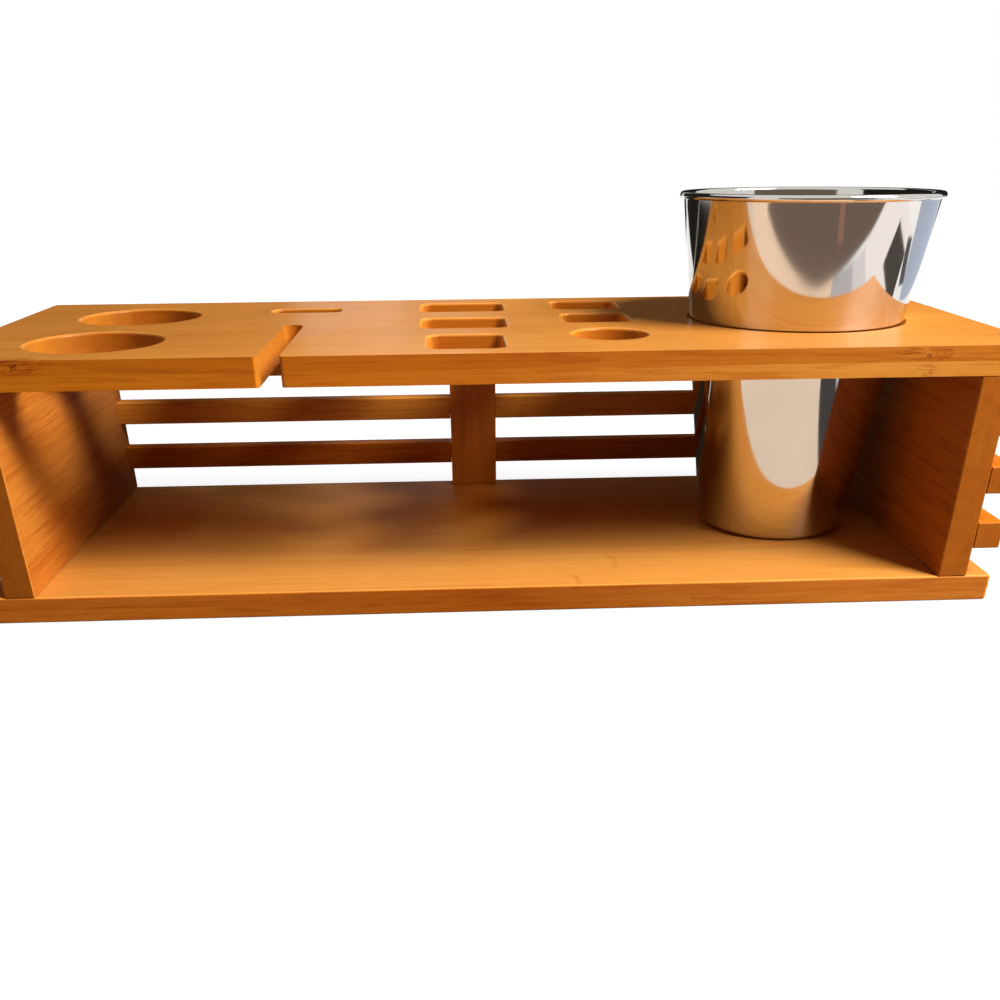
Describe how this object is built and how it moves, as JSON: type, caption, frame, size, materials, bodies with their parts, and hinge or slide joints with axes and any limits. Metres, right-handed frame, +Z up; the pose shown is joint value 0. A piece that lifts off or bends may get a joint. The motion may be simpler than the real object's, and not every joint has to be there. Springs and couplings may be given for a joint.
{
  "type": "bar tool organizer",
  "caption": "Bamboo bar tool organizer: a holed and notched top board over an open shelf, with side panels, slatted back and sides, and a tapered shaker tin in its hole.",
  "frame": {"origin": "centre of the base board's underside, which is also the bottom centre of the whole box", "axes": "+X to the right along the width, towards the shaker tin; +Y to the back, towards the slats; +Z up"},
  "size_m": [0.383, 0.145, 0.1382],
  "materials": {
    "board_bamboo": "laminated bamboo with a thin satin varnish",
    "panel_bamboo": "laminated bamboo with a thin satin varnish",
    "slat_bamboo": "bamboo strip with a thin satin varnish",
    "dowel_beech": "raw turned beech, glued in",
    "polished_steel": "mirror polished stainless steel"
  },
  "bodies": {
    "organizer": {"base_board": "board_bamboo", "top_board": "board_bamboo", "left_side_panel": "panel_bamboo", "right_side_panel": "panel_bamboo", "centre_post": "panel_bamboo", "back_slat_left_lower": "slat_bamboo", "back_slat_left_middle": "slat_bamboo", "back_slat_left_upper": "slat_bamboo", "back_slat_right_lower": "slat_bamboo", "back_slat_right_middle": "slat_bamboo", "back_slat_right_upper": "slat_bamboo", "left_side_slat_lower": "slat_bamboo", "left_side_slat_middle": "slat_bamboo", "left_side_slat_upper": "slat_bamboo", "right_side_slat_lower": "slat_bamboo", "right_side_slat_middle": "slat_bamboo", "right_side_slat_upper": "slat_bamboo", "panel_dowel_base_left_front": "dowel_beech", "panel_dowel_base_left_back": "dowel_beech", "panel_dowel_base_right_front": "dowel_beech", "panel_dowel_base_right_back": "dowel_beech", "panel_dowel_top_left_front": "dowel_beech", "panel_dowel_top_left_back": "dowel_beech", "panel_dowel_top_right_front": "dowel_beech", "panel_dowel_top_right_back": "dowel_beech", "post_dowel_base": "dowel_beech", "post_dowel_top": "dowel_beech", "side_slat_dowel_left_lower_front": "dowel_beech", "side_slat_dowel_left_lower_back": "dowel_beech", "side_slat_dowel_left_middle_front": "dowel_beech", "side_slat_dowel_left_middle_back": "dowel_beech", "side_slat_dowel_left_upper_front": "dowel_beech", "side_slat_dowel_left_upper_back": "dowel_beech", "side_slat_dowel_right_lower_front": "dowel_beech", "side_slat_dowel_right_lower_back": "dowel_beech", "side_slat_dowel_right_middle_front": "dowel_beech", "side_slat_dowel_right_middle_back": "dowel_beech", "side_slat_dowel_right_upper_front": "dowel_beech", "side_slat_dowel_right_upper_back": "dowel_beech"},
    "tin": {"shaker_tin": "polished_steel"}
  },
  "joints": [
    {"name": "tin_lift", "type": "slide", "parent": "organizer", "child": "tin", "axis": [0, 0, 1], "range_m": [0, 0.095]}
  ]
}
